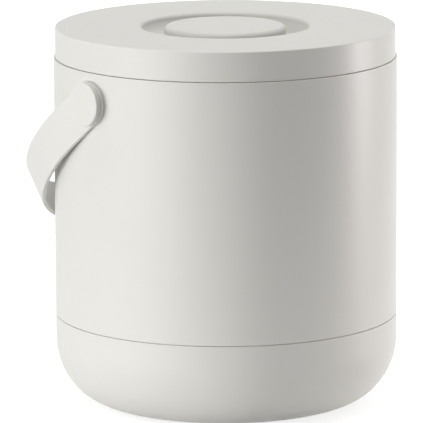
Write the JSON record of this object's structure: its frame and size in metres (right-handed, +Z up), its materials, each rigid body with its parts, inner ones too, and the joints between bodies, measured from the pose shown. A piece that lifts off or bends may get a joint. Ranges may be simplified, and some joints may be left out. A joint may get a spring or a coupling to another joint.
{
  "type": "compost caddy with lift-off lid",
  "caption": "Round countertop compost caddy: rounded base with a bag store, straight sleeve with a swinging strap bail, lift-out bucket, and a flat lid with a sunk knob over a carbon filter.",
  "frame": {"origin": "centre of the resting face of the foot pad under the base", "axes": "+Z up along the round body's axis; X along the bail's pivot axis, with the pivot that faces the camera in the picture at -X; the bail rests on the +Y side"},
  "size_m": [0.2126, 0.2175, 0.2217],
  "materials": {
    "shell": "satin, fine moulded grain",
    "strap": "satin, fine moulded grain",
    "bucket": "matt, fine spark grain",
    "inner_plastic": "matt",
    "foot_rubber": "matt",
    "grip_rubber": "matt",
    "seal": "soft satin silicone",
    "carbon": "open-cell carbon foam",
    "steel": "plain"
  },
  "bodies": {
    "base": {"base_bowl": "shell", "foot_pad": "foot_rubber", "grip_ring": "grip_rubber"},
    "sleeve": {"body_sleeve": "shell", "pivot_cap_left": "strap", "pivot_cap_right": "strap", "pivot_washer_left": "steel", "pivot_washer_right": "steel", "pivot_screw_left": "steel", "pivot_screw_right": "steel"},
    "handle": {"handle_strap": "strap"},
    "bucket": {"inner_bucket": "bucket", "bag_ring": "inner_plastic"},
    "lid": {"lid_cover": "shell", "lid_knob": "shell", "knob_screws": "steel", "lid_liner": "inner_plastic", "liner_screws": "steel", "lid_seal": "seal"},
    "filter": {"filter_grille": "bucket", "filter_pad": "carbon"}
  },
  "joints": [
    {"name": "body_lift", "type": "slide", "parent": "base", "child": "sleeve", "axis": [0, 0, 1], "range_m": [0, 0.08]},
    {"name": "handle_swing", "type": "hinge", "parent": "sleeve", "child": "handle", "pos_m": [0, 0, 0.1869], "axis": [1, 0, 0], "range_deg": [0, 255.4]},
    {"name": "bucket_lift", "type": "slide", "parent": "sleeve", "child": "bucket", "axis": [0, 0, 1], "range_m": [0, 0.16]},
    {"name": "lid_lift", "type": "slide", "parent": "bucket", "child": "lid", "axis": [0, 0, 1], "range_m": [0, 0.1]},
    {"name": "filter_turn", "type": "hinge", "parent": "lid", "child": "filter", "pos_m": [0, 0, 0.2], "axis": [0, 0, 1], "range_deg": [0, 30]}
  ]
}
